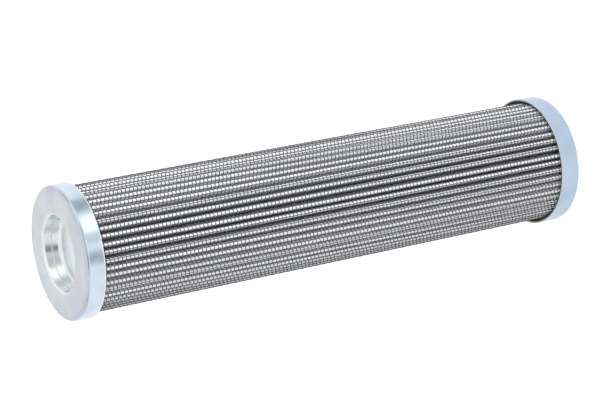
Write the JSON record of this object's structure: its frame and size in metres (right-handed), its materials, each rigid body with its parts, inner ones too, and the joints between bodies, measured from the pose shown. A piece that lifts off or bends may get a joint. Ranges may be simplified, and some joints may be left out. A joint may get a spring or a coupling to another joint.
{
  "type": "hydraulic filter element",
  "caption": "Pleated cartridge with a wire mesh cover and zinc-plated end caps; one cap has a stepped blind socket, the other a sealed outlet bore.",
  "frame": {"origin": "centre of the open end's face, on which the element stands", "axes": "+Z along the element's axis, from the open end to the closed end; +Y points to the pleated sheet's side seam"},
  "size_m": [0.048, 0.048, 0.204],
  "materials": {
    "zinc_plated_cap": "bright zinc plate with faint rainbow tints",
    "tube_steel": "tinned sheet steel",
    "coated_mesh": "satin charcoal epoxy coat",
    "fleece": "white spunbond fleece",
    "media": "glass fibre mat",
    "inner_mesh": "plain steel wire",
    "adhesive": "cured dark epoxy",
    "seal_rubber": "moulded nitrile rubber"
  },
  "bodies": {
    "root": {"open_end_cap": "zinc_plated_cap", "closed_end_cap": "zinc_plated_cap", "center_tube": "tube_steel", "outer_wire_mesh": "coated_mesh", "outer_fleece": "fleece", "filter_media": "media", "inner_fleece": "fleece", "inner_wire_mesh": "inner_mesh", "side_seam_bond": "adhesive", "open_end_adhesive": "adhesive", "closed_end_adhesive": "adhesive", "bore_seal": "seal_rubber"}
  },
  "joints": []
}
